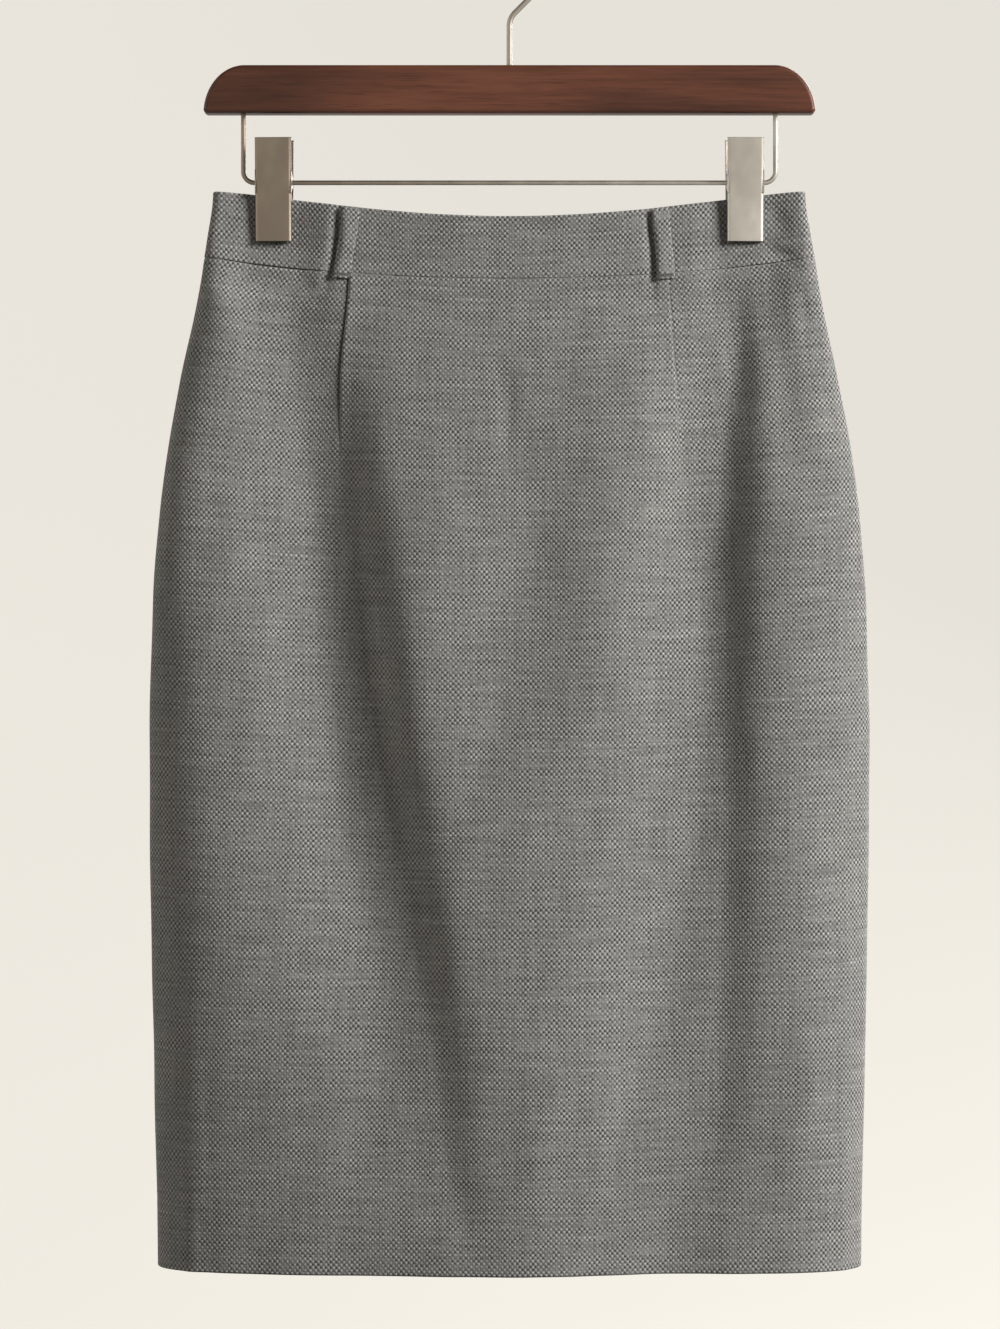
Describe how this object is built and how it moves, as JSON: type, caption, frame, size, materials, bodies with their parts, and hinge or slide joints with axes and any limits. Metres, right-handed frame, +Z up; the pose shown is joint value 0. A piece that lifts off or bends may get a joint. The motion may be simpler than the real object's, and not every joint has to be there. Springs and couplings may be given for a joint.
{
  "type": "pencil skirt on a clip hanger",
  "caption": "Straight knee-length pencil skirt with waistband, belt loops and back zip, held by its waistband in the clips of a wooden hanger.",
  "frame": {"origin": "inside the top of the hanger's hook, where a rail carries it", "axes": "+Z up along the skirt's length, -Y out of the front, +X towards the wearer's left"},
  "size_m": [0.42, 0.0912, 0.7857],
  "materials": {
    "suiting": "matt woven wool suiting",
    "wood": "satin varnish, dark mahogany stain",
    "nickel": "satin nickel plate",
    "pad": "matt",
    "zip_coil": "matt nylon coil"
  },
  "bodies": {
    "skirt_and_hanger": {"front_panel": "suiting", "back_panel_left": "suiting", "back_panel_right": "suiting", "waistband_front": "suiting", "waistband_back_left": "suiting", "waistband_back_right": "suiting", "vent_underlap": "suiting", "belt_loop_front_right": "suiting", "belt_loop_front_left": "suiting", "belt_loop_back_left": "suiting", "belt_loop_back_right": "suiting", "zip_chain": "zip_coil", "zip_slider": "nickel", "hanger_bar": "wood", "hanger_hook": "nickel", "clip_rod": "nickel", "clip_right_front_jaw": "nickel", "clip_right_back_jaw": "nickel", "clip_right_front_pad": "pad", "clip_right_back_pad": "pad", "clip_right_spring": "nickel", "clip_left_front_jaw": "nickel", "clip_left_back_jaw": "nickel", "clip_left_front_pad": "pad", "clip_left_back_pad": "pad", "clip_left_spring": "nickel"},
    "zip_pull": {"zip_pull": "nickel"}
  },
  "joints": [
    {"name": "zip_pull_swing", "type": "hinge", "parent": "skirt_and_hanger", "child": "zip_pull", "pos_m": [0, 0.0099, -0.1803], "axis": [1, 0, 0], "range_deg": [0, 160]}
  ]
}
